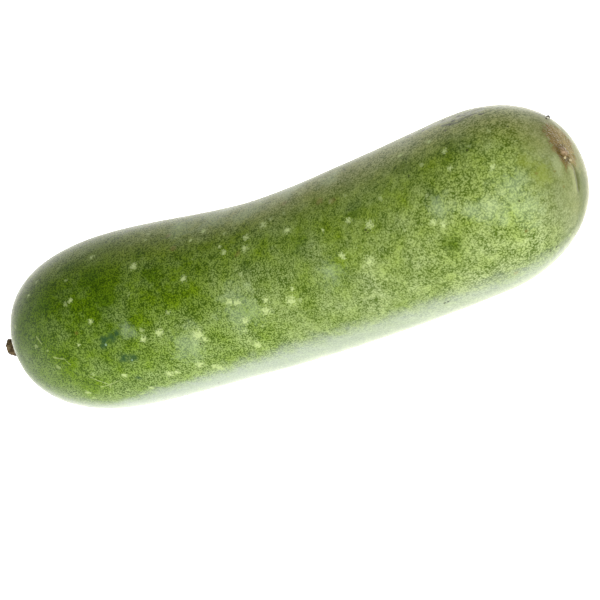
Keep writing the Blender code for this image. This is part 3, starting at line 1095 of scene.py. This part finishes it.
def place_camera():
    """Stands the camera at the photo's angle, rolled, with the melon where the photo has it."""
    azimuth, elevation = math.radians(CAMERA_AZIMUTH), math.radians(CAMERA_ELEVATION)
    flat = math.cos(elevation)
    back = Vector((math.sin(azimuth) * flat, -math.cos(azimuth) * flat, math.sin(elevation)))
    level = Vector((math.cos(azimuth), math.sin(azimuth), 0.0))
    upright = back.cross(level)
    roll = math.radians(CAMERA_ROLL)
    right = level * math.cos(roll) - upright * math.sin(roll)
    up = level * math.sin(roll) + upright * math.cos(roll)
    lens = bpy.data.cameras.new("camera")
    lens.sensor_width = SENSOR_WIDTH
    lens.lens = SENSOR_WIDTH * CAMERA_DISTANCE / (PICTURE_PIXELS * PIXEL_SIZE)
    camera = bpy.data.objects.new("camera", lens)
    middle = PICTURE_PIXELS / 2
    aside = (middle - AIM_PIXEL[0]) * PIXEL_SIZE
    above = (AIM_PIXEL[1] - middle) * PIXEL_SIZE
    place = AIM + back * CAMERA_DISTANCE + right * aside + up * above
    turn = Matrix((right, up, back)).transposed().to_4x4()
    camera.matrix_world = Matrix.Translation(place) @ turn
    bpy.context.scene.collection.objects.link(camera)
    bpy.context.scene.camera = camera


def add_softbox(name, place, width, height, watts):
    """A rectangular lamp that faces the melon."""
    light = bpy.data.lights.new(name, "AREA")
    light.shape = "RECTANGLE"
    light.size = width
    light.size_y = height
    light.energy = watts
    lamp = bpy.data.objects.new(name, light)
    lamp.location = place
    lamp.rotation_euler = (Vector(place) - Vector(SOFTBOX_AIM)).to_track_quat("Z", "Y").to_euler()
    bpy.context.scene.collection.objects.link(lamp)


def pale_floor_material():
    """A pale floor that glows white, so that it meets the background without an edge."""
    material = bpy.data.materials.new("pale_floor")
    material.use_nodes = True
    shader = material.node_tree.nodes["Principled BSDF"]
    shader.inputs["Base Color"].default_value = (0.92, 0.92, 0.92, 1.0)
    shader.inputs["Roughness"].default_value = 0.7
    shader.inputs["Emission Color"].default_value = (1.0, 1.0, 1.0, 1.0)
    shader.inputs["Emission Strength"].default_value = 1.0
    return material


def build_studio():
    """The white surroundings, the floor and the two softboxes."""
    world = bpy.data.worlds.new("studio")
    bpy.context.scene.world = world
    world.use_nodes = True
    world.node_tree.nodes["Background"].inputs["Color"].default_value = (1.0, 1.0, 1.0, 1.0)
    world.node_tree.nodes["Background"].inputs["Strength"].default_value = WORLD_LIGHT
    bpy.context.scene.view_settings.view_transform = "Standard"
    shape = bmesh.new()
    bmesh.ops.create_grid(shape, x_segments=1, y_segments=1, size=FLOOR_HALF_SIZE)
    mesh = bpy.data.meshes.new("floor")
    shape.to_mesh(mesh)
    shape.free()
    mesh.materials.append(pale_floor_material())
    floor = bpy.data.objects.new("floor", mesh)
    bpy.context.scene.collection.objects.link(floor)
    for name, box in SOFTBOXES.items():
        add_softbox(name, *box)


def main():
    """Builds the camera, the studio, the skin, the stalk and the flake."""
    place_camera()
    build_studio()
    groups = {
        "mottle": mottle_group(),
        "flecks": fleck_group(),
        "spot": spot_group(),
        "line": line_group(),
        "cork": cork_group(),
    }
    skin = skin_mesh()
    places = SkinPlaces(skin)
    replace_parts(add_piece("melon_skin", skin, melon_skin_material(places, groups)), "fruit")
    stalk = dry_material("dry_stalk", groups, *STALK_TONES)
    curl = dry_material("dry_flake", groups, *FLAKE_TONES)
    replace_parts(add_piece("stalk", stub_mesh(), stalk), "stem_stub")
    add_piece("dry_flake", flake_mesh(places), curl)


main()
